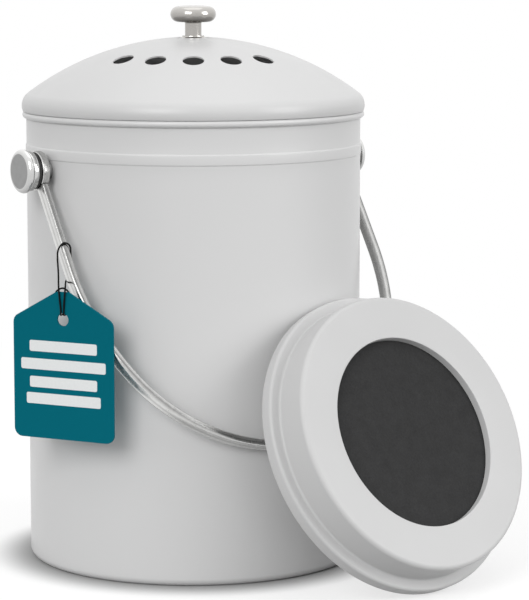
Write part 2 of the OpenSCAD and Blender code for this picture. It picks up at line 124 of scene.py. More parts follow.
class Nodes:
    """A material's node tree, with a short way to add and link nodes."""

    def __init__(self, name):
        self.material = bpy.data.materials.new(name)
        self.material.use_nodes = True
        self.tree = self.material.node_tree
        self.shader = self.tree.nodes["Principled BSDF"]
        self.output = self.tree.nodes["Material Output"]

    def add(self, kind, **settings):
        """Adds a node and sets what is named, an input or else a property."""
        node = self.tree.nodes.new(kind)
        for key, value in settings.items():
            if key in node.inputs:
                node.inputs[key].default_value = value
            else:
                setattr(node, key, value)
        return node

    def link(self, source, target):
        self.tree.links.new(source, target)

    def set(self, **inputs):
        """Sets the shader's own sockets, with _ where their names have a space."""
        for key, value in inputs.items():
            self.shader.inputs[key.replace("_", " ")].default_value = value

    def place(self, scale=(1, 1, 1)):
        """Object coordinates, stretched by scale."""
        coords = self.add("ShaderNodeTexCoord")
        mapping = self.add("ShaderNodeMapping")
        mapping.inputs["Scale"].default_value = scale
        self.link(coords.outputs["Object"], mapping.inputs["Vector"])
        return mapping.outputs["Vector"]

    def noise(self, scale, detail, roughness=0.5, where=None):
        node = self.add("ShaderNodeTexNoise", Scale=scale, Detail=detail, Roughness=roughness)
        self.link(where or self.place(), node.inputs["Vector"])
        return node.outputs["Fac"]

    def multiply_add(self, value, factor, addend, use_clamp=False):
        """value * factor + addend, where addend is a number or a node's output."""
        node = self.add("ShaderNodeMath", operation="MULTIPLY_ADD", use_clamp=use_clamp)
        self.link(value, node.inputs[0])
        node.inputs[1].default_value = factor
        if isinstance(addend, float):
            node.inputs[2].default_value = addend
        else:
            self.link(addend, node.inputs[2])
        return node.outputs[0]

    def span(self, value, low, high):
        """Maps a noise onto the run from low to high."""
        node = self.add("ShaderNodeMapRange")
        node.inputs["From Min"].default_value = NOISE_LOW
        node.inputs["From Max"].default_value = NOISE_HIGH
        node.inputs["To Min"].default_value = low
        node.inputs["To Max"].default_value = high
        self.link(value, node.inputs["Value"])
        return node.outputs["Result"]

    def colour(self, value, low, high):
        """Colours the surface by value, from colour low to colour high."""
        node = self.add("ShaderNodeMix", data_type="RGBA")
        self.link(value, node.inputs["Factor"])
        node.inputs["A"].default_value = (*low, 1)
        node.inputs["B"].default_value = (*high, 1)
        self.link(node.outputs["Result"], self.shader.inputs["Base Color"])

    def roughness(self, value, low, high):
        """Makes the surface's roughness follow a noise, from low to high."""
        self.link(self.span(value, low, high), self.shader.inputs["Roughness"])

    def bump(self, height, distance, strength):
        node = self.add("ShaderNodeBump", Distance=distance, Strength=strength)
        self.link(height, node.inputs["Height"])
        self.link(node.outputs["Normal"], self.shader.inputs["Normal"])


def powder_coat(name, tone):
    """Semi-gloss powder coat: a fine orange peel and a barely uneven gloss."""
    made = Nodes(name)
    made.set(Specular_IOR_Level=0.4)
    made.colour(made.noise(scale=9, detail=3), grey(tone * 0.98), grey(tone * 1.02))
    made.roughness(made.noise(scale=60, detail=3), 0.3, 0.38)
    made.bump(made.noise(scale=900, detail=2), distance=0.00002, strength=0.35)
    return made.material


# How much a plated metal's tone follows the way its surface faces, which is a painted
# reflection, and its grain
PAINTED_REFLECTION_GAIN = 0.45
PAINTED_REFLECTION_LEVEL = 0.42
GRAIN_SHARE = 0.14


def metal(name, bright, dark, roughness):
    """Plated metal: a painted reflection, pale where it faces up and darker below, with a fine
    grain.
    """
    made = Nodes(name)
    made.set(Metallic=1.0)
    grain = made.noise(scale=1400, detail=3, roughness=0.6)
    geometry = made.add("ShaderNodeNewGeometry")
    facing = made.add("ShaderNodeSeparateXYZ")
    made.link(geometry.outputs["Normal"], facing.inputs[0])
    # The tone rises with the normal's upward part: a painted reflection.
    painted_reflection = made.multiply_add(facing.outputs["Z"], PAINTED_REFLECTION_GAIN, PAINTED_REFLECTION_LEVEL)
    tone = made.multiply_add(grain, GRAIN_SHARE, painted_reflection, use_clamp=True)
    made.colour(tone, dark, bright)
    made.roughness(made.noise(scale=300, detail=3), roughness * 0.8, roughness * 1.2)
    made.bump(grain, distance=0.00001, strength=0.12)
    return made.material


def drawn_strip():
    """Drawn steel strip, whose painted highlights and reflections run along it as lines of
    tone that its mesh carries.
    """
    made = Nodes("bail_steel")
    made.set(Metallic=1.0)
    # The mesh's tone is painted highlights and reflections, and the mottle on it is random.
    tone = made.add("ShaderNodeAttribute", attribute_name="tone")
    mottle = made.span(made.noise(scale=260, detail=4, roughness=0.6), -0.03, 0.03)
    uneven = made.add("ShaderNodeMath", operation="ADD", use_clamp=True)
    made.link(tone.outputs["Fac"], uneven.inputs[0])
    made.link(mottle, uneven.inputs[1])
    made.colour(uneven.outputs[0], grey(0), (1, 1, 0.985))
    made.roughness(made.noise(scale=300, detail=3), 0.2, 0.3)
    grain = made.noise(scale=1400, detail=3, roughness=0.6)
    made.bump(grain, distance=0.000005, strength=0.3)
    return made.material


def rubber():
    """Black rubber, dull and faintly dusty."""
    made = Nodes("black_rubber")
    made.set(Roughness=0.6)
    made.colour(made.noise(scale=400, detail=4), grey(0.012), grey(0.03))
    made.bump(made.noise(scale=2500, detail=2), distance=0.00003, strength=0.4)
    return made.material


def moulded_plastic():
    """Light grey moulded plastic with a fine satin texture."""
    made = Nodes("grey_plastic")
    made.set(Specular_IOR_Level=0.35)
    made.colour(made.noise(scale=30, detail=2), grey(0.57), grey(0.6))
    made.roughness(made.noise(scale=80, detail=2), 0.42, 0.5)
    made.bump(made.noise(scale=3000, detail=2), distance=0.00002, strength=0.5)
    return made.material


FIBRE_SHARE = 0.6
CLUMP_SHARE = 0.4
FIBRE_STRETCH = (1, 0.35, 1)


def charcoal_felt():
    """Charcoal-loaded felt: matt fibres with a darker and paler mottle."""
    made = Nodes("charcoal_felt")
    made.set(Roughness=0.95, Specular_IOR_Level=0.15)
    fibres = made.noise(scale=900, detail=5, roughness=0.7, where=made.place(FIBRE_STRETCH))
    clumps = made.noise(scale=160, detail=3, roughness=0.6)
    mottle = made.multiply_add(clumps, CLUMP_SHARE, 0.0)
    both = made.multiply_add(fibres, FIBRE_SHARE, mottle, use_clamp=True)
    made.colour(both, grey(0.018), (0.056, 0.056, 0.057))
    made.bump(fibres, distance=0.0003, strength=0.8)
    return made.material


def painted_vent_light():
    """A pale, matt and fluffy surface: painted light, which shows grey through the lid's
    vents.
    """
    made = Nodes("painted_vent_light")
    made.set(Roughness=0.95, Specular_IOR_Level=0.1)
    fibres = made.noise(scale=900, detail=4, roughness=0.7)
    made.colour(fibres, grey(0.78), grey(0.86))
    made.bump(fibres, distance=0.0002, strength=0.6)
    return made.material


def tag_card():
    """Coated card with a soft sheen and a faint paper tooth."""
    made = Nodes("tag_card")
    made.set(Roughness=0.6, Specular_IOR_Level=0.05)
    made.colour(made.noise(scale=700, detail=4), (0.0, 0.13, 0.178), (0.0, 0.142, 0.192))
    made.bump(made.noise(scale=2600, detail=4), distance=0.00002, strength=0.4)
    return made.material


def tag_ink():
    """Thick pale ink with a faintly uneven cover."""
    made = Nodes("tag_ink")
    made.set(Roughness=0.55, Specular_IOR_Level=0.2)
    made.colour(made.noise(scale=900, detail=4), (0.8, 0.82, 0.82), (0.88, 0.9, 0.9))
    return made.material


def waxed_string():
    """Waxed black string with fine ridges, from a wave across the object."""
    made = Nodes("black_string")
    made.set(Roughness=0.8, Specular_IOR_Level=0.1)
    wave = made.add("ShaderNodeTexWave", Scale=520.0, Distortion=0.6)
    made.link(made.place(), wave.inputs["Vector"])
    made.colour(wave.outputs["Fac"], grey(0.003), grey(0.009))
    made.bump(wave.outputs["Fac"], distance=0.00006, strength=0.6)
    return made.material


# Mesh helpers

# Angles in degrees beyond which an edge stays sharp
SHARP_EDGE = 40
SHARPER_EDGE = 50

ON_AXIS = 1e-6

# How near to a flat face's own place its polygons are looked for
FACE_NEAR = 0.01

# Faces round a turned piece
LID_SEGMENTS = 288
BIN_SEGMENTS = 256
CASE_SEGMENTS = 224
RING_SEGMENTS = 192
MEDIUM_SEGMENTS = 128
SMALL_SEGMENTS = 96


def add_object(name, data, body, material, replaced=()):
    piece = in_scene(name, data)
    data.materials.append(material)
    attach(piece, body)
    if replaced:
        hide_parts(*replaced)
    return piece


def smooth_faces(mesh, sharp_angle=SHARP_EDGE):
    """Smooth shading, apart from edges sharper than sharp_angle degrees."""
    for polygon in mesh.polygons:
        polygon.use_smooth = True
    mesh.set_sharp_from_angle(angle=math.radians(sharp_angle))


def to_mesh(bm, name):
    """Makes a mesh of bm, and frees bm."""
    mesh = bpy.data.meshes.new(name)
    bm.to_mesh(mesh)
    bm.free()
    return mesh


def arc(centre, radius, start, end, steps):
    """Points in the (radius, height) plane round centre, angles in degrees."""
    points = []
    for i in range(steps + 1):
        a = math.radians(start + (end - start) * i / steps)
        points.append((centre[0] + radius * math.cos(a), centre[1] + radius * math.sin(a)))
    return points


def lathe(profile, segments):
    """A closed (radius, height) outline in mm, turned round Z into a mesh in metres.

    An outline that starts on the axis ends there too."""
    bm = bmesh.new()
    rings = []
    for radius, height in profile:
        if radius < ON_AXIS:
            rings.append([bm.verts.new(mm((0, 0, height)))])
            continue
        ring = []
        for k in range(segments):
            a = 2 * math.pi * k / segments
            ring.append(bm.verts.new(mm((radius * math.cos(a), radius * math.sin(a), height))))
        rings.append(ring)
    pairs = list(zip(rings, rings[1:]))
    if profile[0][0] > ON_AXIS:
        pairs.append((rings[-1], rings[0]))
    for low, high in pairs:
        for k in range(segments):
            m = (k + 1) % segments
            if len(low) == 1:
                bm.faces.new((low[0], high[m], high[k]))
            elif len(high) == 1:
                bm.faces.new((low[k], low[m], high[0]))
            else:
                bm.faces.new((low[k], low[m], high[m], high[k]))
    bmesh.ops.recalc_face_normals(bm, faces=bm.faces)
    return to_mesh(bm, "turned")


def lay_sideways(mesh, side):
    """Lays a mesh turned round Z along X, its height outwards on one side."""
    mesh.transform(Matrix.Rotation(math.pi / 2, 4, "Y"))
    if side < 0:
        mesh.transform(Matrix.Scale(-1, 4, (1, 0, 0)))
        mesh.flip_normals()


def raise_to_pivots(mesh):
    mesh.transform(Matrix.Translation((0, 0, mm(PIVOT_Z))))


def combine(piece, others, operation):
    """Joins the others' meshes to piece or cuts them out of it, and removes them."""
    for other in others:
        modifier = piece.modifiers.new("combine", "BOOLEAN")
        modifier.operation = operation
        modifier.solver = "EXACT"
        modifier.object = other
    view = bpy.context.evaluated_depsgraph_get()
    made = bpy.data.meshes.new_from_object(piece.evaluated_get(view))
    piece.modifiers.clear()
    piece.data = made
    for other in others:
        bpy.data.objects.remove(other)


# Bin

BASE_BEND = 4.0
ROLL_H = 3.7
ROLL_OUT = 2.0
MOUTH_ROUND = 0.4
SWAGE_Z = 216.5
SWAGE_W = 5.3
SWAGE_OUT = 0.45
SWAGE_CROWN = 0.08
SWAGE_BLEND = 0.9
SWAGE_STEPS = 8

# Where the plain base and walls get a ring of points
BASE_RADII = (0, 40, 70)
OUTER_HEIGHTS = (40, 80, 120, 160, 190, 205)
INNER_HEIGHTS = (220, 160, 80)
SHOULDER_Z = 224

# The wall's turn into the roll, below the roll and outwards
NECK_LOW = 0.6
NECK_HIGH = 0.1
NECK_OUT = 0.05


def swage_outline():
    """The raised ring: a nearly flat crest with a short blend at either side."""
    foot = SWAGE_W / 2 + SWAGE_BLEND / 2
    top = SWAGE_W / 2 - SWAGE_BLEND / 2
    points = []
    for i in range(SWAGE_STEPS + 1):
        ease = 0.5 - 0.5 * math.cos(math.pi * i / SWAGE_STEPS)
        out = BIN_R + (SWAGE_OUT - SWAGE_CROWN) * ease
        points.append((out, SWAGE_Z - foot + SWAGE_BLEND * i / SWAGE_STEPS))
    for i in range(1, SWAGE_STEPS):
        along = -top + 2 * top * i / SWAGE_STEPS
        rise = SWAGE_OUT - SWAGE_CROWN * (along / top) ** 2
        points.append((BIN_R + rise, SWAGE_Z + along))
    mirrored = [(r, 2 * SWAGE_Z - z) for r, z in reversed(points[:SWAGE_STEPS + 1])]
    return points + mirrored


def make_bin(coat):
    mouth_r = BIN_R - SHEET
    roll_r = ROLL_H / 2
    roll_c = (BIN_R + ROLL_OUT - roll_r, BIN_H - roll_r)
    roll_low = BIN_H - ROLL_H
    outline = (
        [(r, 0) for r in BASE_RADII]
        + arc((BIN_R - BASE_BEND, BASE_BEND), BASE_BEND, -90, 0, 12)
        + [(BIN_R, z) for z in OUTER_HEIGHTS]
        + swage_outline()
        + [(BIN_R, SHOULDER_Z), (BIN_R, roll_low - NECK_LOW)]
        + [(BIN_R + NECK_OUT, roll_low - NECK_HIGH)]
        + arc(roll_c, roll_r, -80, 90, 18)
        + arc((mouth_r + MOUTH_ROUND, BIN_H - MOUTH_ROUND), MOUTH_ROUND, 90, 180, 4)
        + [(mouth_r, z) for z in INNER_HEIGHTS]
        + arc((mouth_r - BASE_BEND + SHEET, BASE_BEND), BASE_BEND - SHEET, 0, -90, 10)
        + [(BASE_RADII[1], SHEET), (0, SHEET)]
    )
    mesh = lathe(outline, BIN_SEGMENTS)
    smooth_faces(mesh, SHARPER_EDGE)
    add_object("bin_wall", mesh, "bin", coat, ["bin_body"])


# Lid

LID_R = 90.3
EDGE_R = 8.0
EDGE_RISE = 2.8
EDGE_STEPS = 22
DOME_R = 145.0
DOME_STEPS = 60
SEAT_R = 7.3
SEAT_DROP = 1.0
SEAT_BLEND = 2.2
SEAT_STEPS = 8
LID_BORE_R = 2.15
VENT_R = 5.55
VENT_RING_R = 53.0
VENT_PITCH = 21.3
VENT_COUNT = 5
VENT_SEGMENTS = 64
VENT_CUT_H = 20
LID_TURN = -32.0
EDGE_C = (LID_R - EDGE_R, BIN_H + EDGE_RISE)
DOME_Z = EDGE_C[1] - math.sqrt((DOME_R - EDGE_R) ** 2 - EDGE_C[0] ** 2)
SEAT_Z = DOME_Z + DOME_R - SEAT_DROP
HEM_IN = 0.9
HEM_R = BIN_R - SHEET - HEM_IN


def lid_face(inset):
    """The lid's outline from its edge up to the knob's seat, inset from its outside."""
    edge_start = -math.degrees(math.asin(EDGE_RISE / EDGE_R))
    edge_end = math.degrees(math.atan2(EDGE_C[1] - DOME_Z, EDGE_C[0]))
    dome_end = math.degrees(math.acos((SEAT_R + SEAT_BLEND) / DOME_R))
    points = arc(EDGE_C, EDGE_R - inset, edge_start, edge_end, EDGE_STEPS)
    points += arc((0, DOME_Z), DOME_R - inset, edge_end, dome_end, DOME_STEPS)[1:]
    rim = points[-1]
    for i in range(1, SEAT_STEPS + 1):
        t = i / SEAT_STEPS
        ease = t * t * (3 - 2 * t)
        height = rim[1] + (SEAT_Z - inset - rim[1]) * ease
        points.append((rim[0] + (SEAT_R - rim[0]) * t, height))
    return points


def vent_cutter(matrix):
    """A rod that cuts one vent."""
    bm = bmesh.new()
    bmesh.ops.create_cone(bm, cap_ends=True, segments=VENT_SEGMENTS, radius1=mm(VENT_R),
                          radius2=mm(VENT_R), depth=mm(VENT_CUT_H), matrix=matrix)
    return in_scene("cutter", to_mesh(bm, "cutter"))


def vent_cutters():
    """The rods for a group of vents in front and one behind."""
    cutters = []
    tilt = math.asin(VENT_RING_R / DOME_R)
    for group in (0, 180):
        for i in range(VENT_COUNT):
            turn = LID_TURN - 90 + group + (i - (VENT_COUNT - 1) / 2) * VENT_PITCH
            cutters.append(vent_cutter(
                Matrix.Translation((0, 0, mm(DOME_Z)))
                @ Matrix.Rotation(math.radians(turn), 4, "Z")
                @ Matrix.Rotation(tilt, 4, "Y")
                @ Matrix.Translation((0, 0, mm(DOME_R)))
            ))
    return cutters


def make_lid(coat):
    outline = (
        [(HEM_R, BIN_H)]
        + lid_face(0)
        + [(LID_BORE_R, SEAT_Z), (LID_BORE_R, SEAT_Z - SHEET)]
        + list(reversed(lid_face(SHEET)))
        + [(HEM_R, BIN_H + SHEET)]
    )
    mesh = lathe(outline, LID_SEGMENTS)
    piece = add_object("lid_dome", mesh, "lid", coat, ["lid_shell"])
    combine(piece, vent_cutters(), "DIFFERENCE")
    smooth_faces(piece.data)


# Ring under the lid, and where the cartridge sits in it

RING_R = 86.0
RING_OUTER_BEND = 1.2
RING_INNER_BEND = 0.7
RING_GAP = 0.1
CHANNEL_W = 7.9
RING_UNDER = 0.4
FACE_DROP = 4.0
LIP_IN = 1.4
CARTRIDGE_H = 25.0


def dome_under(radius):
    """Height of the dome's underside at a radius."""
    return DOME_Z + math.sqrt((DOME_R - SHEET) ** 2 - radius ** 2)


def edge_under(radius):
    """Height of the rounded edge's underside at a radius."""
    return EDGE_C[1] + math.sqrt((EDGE_R - SHEET) ** 2 - (radius - EDGE_C[0]) ** 2)


BORE_R = RING_R - CHANNEL_W
CARTRIDGE_TOP = dome_under(BORE_R + SHEET) - RING_UNDER - SHEET
FACE_Z = CARTRIDGE_TOP - CARTRIDGE_H
RING_Z = FACE_Z + FACE_DROP


def make_inner_ring(coat):
    """The ring under the lid, which seats in the mouth and holds the cartridge."""
    outer_c = (RING_R - RING_OUTER_BEND, RING_Z + RING_OUTER_BEND)
    inner_c = (BORE_R + RING_INNER_BEND, RING_Z + RING_INNER_BEND)
    wall_r = RING_R - SHEET
    lip_r = BORE_R - LIP_IN
    outline = (
        [(RING_R, edge_under(RING_R) - RING_GAP)]
        + list(reversed(arc(outer_c, RING_OUTER_BEND, -90, 0, 6)))
        + list(reversed(arc(inner_c, RING_INNER_BEND, 180, 270, 5)))
        + [(BORE_R, CARTRIDGE_TOP), (lip_r, CARTRIDGE_TOP)]
        + [(lip_r, CARTRIDGE_TOP + SHEET), (BORE_R + SHEET, CARTRIDGE_TOP + SHEET)]
        + [(BORE_R + SHEET, RING_Z + SHEET), (wall_r, RING_Z + SHEET)]
        + [(wall_r, edge_under(wall_r) - RING_GAP)]
    )
    mesh = lathe(outline, RING_SEGMENTS)
    smooth_faces(mesh)
    add_object("lid_ring", mesh, "lid", coat, ["lid_inner_ring"])


# Knob

COLLAR_R = 6.95
COLLAR_H = 1.7
COLLAR_EDGE = 0.3
COLLAR_LIP = 0.5
STEM_R = 4.35
STEM_H = 7.1
STEM_FILLET = 0.8
KNOB_R = 12.0
KNOB_HEAD_H = 8.7
KNOB_CROWN_H = 0.5

# The crown's last rings, each as its radius and its drop from the top
KNOB_CROWN = ((5.5, 0.14), (3, 0.03), (0, 0))


def make_knob(nickel):
    base = SEAT_Z + COLLAR_H
    head = base + STEM_H
    rim_r = KNOB_HEAD_H / 2 - KNOB_CROWN_H / 2
    rim_c = (KNOB_R - rim_r, head + rim_r)
    fillet_c = (STEM_R + STEM_FILLET, head - STEM_FILLET)
    crown = head + KNOB_HEAD_H
    outline = (
        [(0, base), (STEM_R, base)]
        + list(reversed(arc(fillet_c, STEM_FILLET, 90, 180, 8)))
        + arc(rim_c, rim_r, -90, 86, 40)
        + [(r, crown - drop) for r, drop in KNOB_CROWN]
    )
    mesh = lathe(outline, MEDIUM_SEGMENTS)
    smooth_faces(mesh)
    add_object("knob_turned", mesh, "lid", nickel, ["lid_knob"])


def make_collar(nickel):
    top = SEAT_Z + COLLAR_H
    foot_c = (COLLAR_R - COLLAR_EDGE, SEAT_Z + COLLAR_EDGE)
    outline = (
        [(LID_BORE_R, SEAT_Z)]
        + arc(foot_c, COLLAR_EDGE, -90, 0, 5)
        + list(reversed(arc((COLLAR_R, top), COLLAR_H - COLLAR_LIP, 180, 270, 12)))
        + [(LID_BORE_R, top)]
    )
    mesh = lathe(outline, SMALL_SEGMENTS)
    smooth_faces(mesh)
    add_object("collar_turned", mesh, "lid", nickel, ["lid_knob_collar"])


# Filter cartridge, in the lid and once more as the spare that leans on the bin

FLANGE_T = 7.4
FLANGE_GAP = 0.1
FLANGE_R = BORE_R - FLANGE_GAP
FLANGE_FRONT_ROUND = 1.6
FLANGE_BACK_ROUND = 1.2
GROOVE_ROUND = 1.2
DRUM_R = 72.0
DRUM_ROUND = 2.4
CASE_WALL = 2.0
CASE_FACE_RING = 60
OPENING_R = 49.6
OPENING_ROUND = 0.5
PAD_RECESS = 4.0
PAD_T = 15.0
PAD_R = 69.7
PAD_ROUND = 1.0
PAD_RADII = range(4, 69, 4)  # where the pad's flat faces get a ring of points
SPARE_TURN = math.radians(8)
SPARE_SIDE = 24.0
SPARE_LEAN = math.radians(26)
WALL_GAP = 0.3
RIM_STEP = 2


def cartridge_case():
    back = FACE_Z + CARTRIDGE_H
    groove = back - FLANGE_T
    floor = FACE_Z + CASE_WALL
    inner_r = DRUM_R - CASE_WALL
    pad_z = FACE_Z + PAD_RECESS
    outline = (
        [(OPENING_R, pad_z)]
        + arc((OPENING_R + OPENING_ROUND, FACE_Z + OPENING_ROUND), OPENING_ROUND, 180, 270, 6)
        + [(CASE_FACE_RING, FACE_Z)]
        + arc((DRUM_R - DRUM_ROUND, FACE_Z + DRUM_ROUND), DRUM_ROUND, -90, -6, 12)
        + [(DRUM_R, groove - GROOVE_ROUND)]
        + arc((DRUM_R + GROOVE_ROUND, groove - GROOVE_ROUND), GROOVE_ROUND, 180, 90, 5)
        + arc((FLANGE_R - FLANGE_FRONT_ROUND, groove + FLANGE_FRONT_ROUND),
              FLANGE_FRONT_ROUND, -90, 0, 9)
        + arc((FLANGE_R - FLANGE_BACK_ROUND, back - FLANGE_BACK_ROUND),
              FLANGE_BACK_ROUND, 0, 90, 7)
        + [(inner_r, back), (inner_r, floor)]
        + [(OPENING_R + CASE_WALL, floor), (OPENING_R + CASE_WALL, pad_z)]
    )
    mesh = lathe(outline, CASE_SEGMENTS)
    smooth_faces(mesh)
    return mesh


def cartridge_felt():
    low = FACE_Z + PAD_RECESS
    high = low + PAD_T
    edge_r = PAD_R - PAD_ROUND
    outline = (
        [(0, low)]
        + [(r, low) for r in PAD_RADII]
        + arc((edge_r, low + PAD_ROUND), PAD_ROUND, -90, 0, 4)
        + arc((edge_r, high - PAD_ROUND), PAD_ROUND, 0, 90, 4)
        + [(r, high) for r in reversed(PAD_RADII[:-1])]
        + [(0, high)]
    )
    mesh = lathe(outline, MEDIUM_SEGMENTS)
    smooth_faces(mesh, SHARPER_EDGE)
    return mesh


def spare_place():
    """Where the spare stands: its back rim on the ground and leaning on the wall."""
    lean_cos = math.cos(SPARE_LEAN)
    lean_sin = math.sin(SPARE_LEAN)
    reach = BIN_R + WALL_GAP
    nearest = 0
    for degrees in range(-180, 181, RIM_STEP):
        t = math.radians(degrees)
        x = SPARE_SIDE + FLANGE_R * math.sin(t)
        if abs(x) < reach:
            wall = -math.sqrt(reach ** 2 - x ** 2)
            behind = CARTRIDGE_H * lean_cos + FLANGE_R * math.cos(t) * lean_sin
            nearest = min(nearest, wall - behind)
    height = FLANGE_R * lean_cos + CARTRIDGE_H * lean_sin
    return (
        Matrix.Rotation(SPARE_TURN, 4, "Z")
        @ Matrix.Translation(mm((SPARE_SIDE, nearest, height)))
        @ Matrix.Rotation(-math.pi / 2 - SPARE_LEAN, 4, "X")
        @ Matrix.Translation(mm((0, 0, -FACE_Z)))
    )


def face_back(mesh, vent_light):
    """Gives the pad's back a pale material, painted light which shows through the vents."""
    mesh.materials.append(vent_light)
    back = mm(FACE_Z + PAD_RECESS + PAD_T)
    for polygon in mesh.polygons:
        if polygon.center.z > back - mm(FACE_NEAR):
            polygon.material_index = 1


def make_cartridge(body, plastic, felt, vent_light):
    """One cartridge, still in the lid's place: its two meshes."""
    case = cartridge_case()
    add_object(body + "_case", case, body, plastic, [body + "_holder"])
    pad = cartridge_felt()
    add_object(body + "_felt", pad, body, felt, [body + "_pad"])
    face_back(pad, vent_light)
    return case, pad


def make_filters(plastic, felt, vent_light):
    make_cartridge("filter", plastic, felt, vent_light)
    for mesh in make_cartridge("spare", plastic, felt, vent_light):
        mesh.transform(spare_place())


# Bail handle

BAIL_REACH = 165.0
BAIL_HALF = 93.9
GRIP_R = 89.5
GRIP_STEPS = 96
LEG_STRAIGHT = 57.9
LEG_RINGS = (3, 10, 20, 30, 40, 50, 57)  # below the pivot, the first inside the eye
LEG_STEPS = 24
STRIP_T = 4.0
STRIP_W = 7.2
STRIP_CORNER = 1.5
CORNER_STEPS = 6
EYE_R = 10.0
EYE_EDGE = 0.5
PIN_R = 3.0
RUNNING_GAP = 0.06
SIDE_GAP = 0.3
LEAN_GUESS = math.radians(34)
SOLID_CORNER = 1.3
STRIP_REACH = (
    SOLID_CORNER
    + (STRIP_W / 2 - SOLID_CORNER) * math.cos(LEAN_GUESS)
    + (STRIP_T / 2 - SOLID_CORNER) * math.sin(LEAN_GUESS)
)
BAIL_REST = math.asin((BIN_R + SIDE_GAP + STRIP_REACH) / BAIL_REACH)

# Painted highlights and reflections round the strip's section: the tones of its corners, from
# start to end, and of the flats after them
CORNER_PAINTED_LIGHT = ((0.72, 0.5), (0.55, 0.5), (0.62, 0.66), (0.22, 0.66))
FLAT_PAINTED_LIGHT = ((0.46, 0.44, 0.46), (0.5, 0.46, 0.5), (0.46, 0.42, 0.56), (0.68, 0.5, 0.7))
CORNER_SIGNS = ((1, 1), (-1, 1), (-1, -1), (1, -1))
EYE_TONE = 0.66


def bail_line():
    """The right half of the strip's middle line: (across, down) with its headings."""
    leg_fall = BAIL_REACH - GRIP_R - LEG_STRAIGHT
    spread = BAIL_HALF - GRIP_R
    leg_r = (BAIL_HALF ** 2 + leg_fall ** 2 - GRIP_R ** 2) / (2 * spread)
    leg_turn = math.atan2(leg_fall, leg_r - BAIL_HALF)
    grip_z = BAIL_REACH - GRIP_R
    line = [((BAIL_HALF, down), (1, 0)) for down in LEG_RINGS]
    for i in range(1, LEG_STEPS + 1):
        a = leg_turn * i / LEG_STEPS
        out = (math.cos(a), math.sin(a))
        line.append(((BAIL_HALF - leg_r + leg_r * out[0], LEG_STRAIGHT + leg_r * out[1]), out))
    for i in range(1, GRIP_STEPS + 1):
        a = leg_turn + (math.pi / 2 - leg_turn) * i / GRIP_STEPS
        out = (math.cos(a), math.sin(a))
        line.append(((GRIP_R * out[0], grip_z + GRIP_R * out[1]), out))
    return line


def bail_section():
    """Rounded strip section: (through its thickness, across its width, tone of its painted
    highlights and reflections).
    """
    points = []
    half_t = STRIP_T / 2 - STRIP_CORNER
    half_w = STRIP_W / 2 - STRIP_CORNER
    for quarter, (x, y) in enumerate(CORNER_SIGNS):
        start, end = CORNER_PAINTED_LIGHT[quarter]
        angle = 90 * quarter
        turned = arc((x * half_t, y * half_w), STRIP_CORNER, angle, angle + 90, CORNER_STEPS)
        for i, (through, across) in enumerate(turned):
            points.append((through, across, start + (end - start) * i / CORNER_STEPS))
        last = turned[-1]
        next_x, next_y = CORNER_SIGNS[(quarter + 1) % 4]
        if quarter % 2 == 0:
            target = (next_x * half_t, last[1])
        else:
            target = (last[0], next_y * half_w)
        tones = FLAT_PAINTED_LIGHT[quarter]
        for i, tone in enumerate(tones):
            t = (i + 1) / (len(tones) + 1)
            points.append((last[0] + (target[0] - last[0]) * t,
                           last[1] + (target[1] - last[1]) * t, tone))
    return points


def bail_mesh():
    """The strip's section swept along its whole middle line, with closed ends."""
    right = bail_line()
    left = [((-p[0], p[1]), (-out[0], out[1])) for p, out in reversed(right[:-1])]
    section = bail_section()
    bm = bmesh.new()
    # Each point carries the tone of the painted highlights and reflections along the strip.
    painted_light = bm.verts.layers.float.new("tone")
    rings = []
    for point, out in right + left:
        ring = []
        for through, across, tone in section:
            x = point[0] + through * out[0]
            down = point[1] + through * out[1]
            corner = bm.verts.new(mm((x, across, -down)))
            corner[painted_light] = tone
            ring.append(corner)
        rings.append(ring)
    count = len(section)
    for low, high in zip(rings, rings[1:]):
        for k in range(count):
            m = (k + 1) % count
            bm.faces.new((low[k], low[m], high[m], high[k]))
    bm.faces.new(rings[0])
    bm.faces.new(list(reversed(rings[-1])))
    bmesh.ops.recalc_face_normals(bm, faces=bm.faces)
    return to_mesh(bm, "bail")


def make_eye(side):
    """The flat eye at one end of the strip."""
    bore = PIN_R + RUNNING_GAP
    low = BAIL_HALF - STRIP_T / 2
    high = BAIL_HALF + STRIP_T / 2
    outline = (
        [(bore, low)]
        + arc((EYE_R - EYE_EDGE, low + EYE_EDGE), EYE_EDGE, -90, 0, 4)
        + arc((EYE_R - EYE_EDGE, high - EYE_EDGE), EYE_EDGE, 0, 90, 4)
        + [(bore, high)]
    )
    mesh = lathe(outline, SMALL_SEGMENTS)
    lay_sideways(mesh, side)
    for item in mesh.attributes.new("tone", "FLOAT", "POINT").data:
        item.value = EYE_TONE
    return in_scene("eye", mesh)


def make_bail(steel):
    piece = add_object("bail_strip", bail_mesh(), "bail", steel, ["bail_handle"])
    combine(piece, [make_eye(1), make_eye(-1)], "UNION")
    piece.data.transform(Matrix.Rotation(-BAIL_REST, 4, "X"))
    raise_to_pivots(piece.data)
    smooth_faces(piece.data)


# Pivots: spacer, washer and button on each side

SPACER_R = 5.2
SPACER_OUT = 91.6
SPACER_ROUND = 1.4
SPACER_SINK = 0.2
SPACER_IN = BIN_R - SPACER_SINK
WASHER_IN = 96.2
WASHER_OUT = 97.6
WASHER_R = 9.5
WASHER_EDGE = 0.3
BUTTON_BACK_R = 10.3
BUTTON_BACK_ROUND = 1.3
BUTTON_BACK_EDGE = 0.6
BUTTON_R = 11.3
BUTTON_EDGE = 0.5
BUTTON_FACE_R = 8.9
BUTTON_MIDDLE_R = 5
GROOVE_R = 9.5
GROOVE_W = 0.5
FRONT_IN = 101.7
BUTTON_OUT = 104.6

# The least part along X of a normal on the button's flat face
FACES_OUT = 0.999


